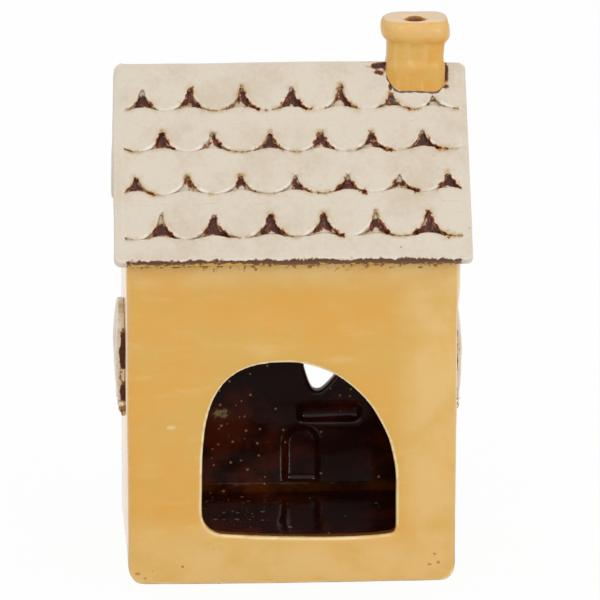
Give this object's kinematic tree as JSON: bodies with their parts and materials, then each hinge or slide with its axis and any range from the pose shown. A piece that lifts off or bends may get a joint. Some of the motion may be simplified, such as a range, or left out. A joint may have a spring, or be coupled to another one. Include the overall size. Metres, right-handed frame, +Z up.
{
  "type": "tealight house",
  "caption": "Glazed stoneware cottage that holds a tealight: arched mouth at the back, scalloped tile roof, vented chimney, heart and window light holes.",
  "frame": {"origin": "on the table, under the middle of the house", "axes": "+Z up, +X to the right as seen from the arched side, +Y from the arched side to the street side with the door"},
  "size_m": [0.1124, 0.083, 0.1756],
  "materials": {
    "wall_glaze": "satin mustard yellow glaze, pooled and mottled, brown inside",
    "roof_glaze": "satin cream glaze over brown oxide that shows in the recesses",
    "inside_glaze": "glossy treacle brown glaze with pale specks",
    "trim_glaze": "satin cream glaze, brown in the corners",
    "door_glaze": "satin brown glaze"
  },
  "bodies": {
    "root": {"back_wall": "wall_glaze", "front_wall": "wall_glaze", "left_gable_wall": "wall_glaze", "right_gable_wall": "wall_glaze", "chimney": "wall_glaze", "floor_slab": "inside_glaze", "back_roof_slab": "roof_glaze", "back_tile_course_1": "roof_glaze", "back_tile_course_2": "roof_glaze", "back_tile_course_3": "roof_glaze", "back_tile_course_4": "roof_glaze", "front_roof_slab": "roof_glaze", "front_tile_course_1": "roof_glaze", "front_tile_course_2": "roof_glaze", "front_tile_course_3": "roof_glaze", "front_tile_course_4": "roof_glaze", "left_window_frame": "trim_glaze", "left_window_box": "trim_glaze", "right_window_frame": "trim_glaze", "right_window_box": "trim_glaze", "street_window_frame": "trim_glaze", "street_window_box": "trim_glaze", "upper_left_window_frame": "trim_glaze", "upper_left_window_sill": "trim_glaze", "upper_right_window_frame": "trim_glaze", "upper_right_window_sill": "trim_glaze", "heart_box": "trim_glaze", "door_leaf": "door_glaze", "door_surround": "trim_glaze", "door_knob": "inside_glaze", "door_steps": "trim_glaze"}
  },
  "joints": []
}
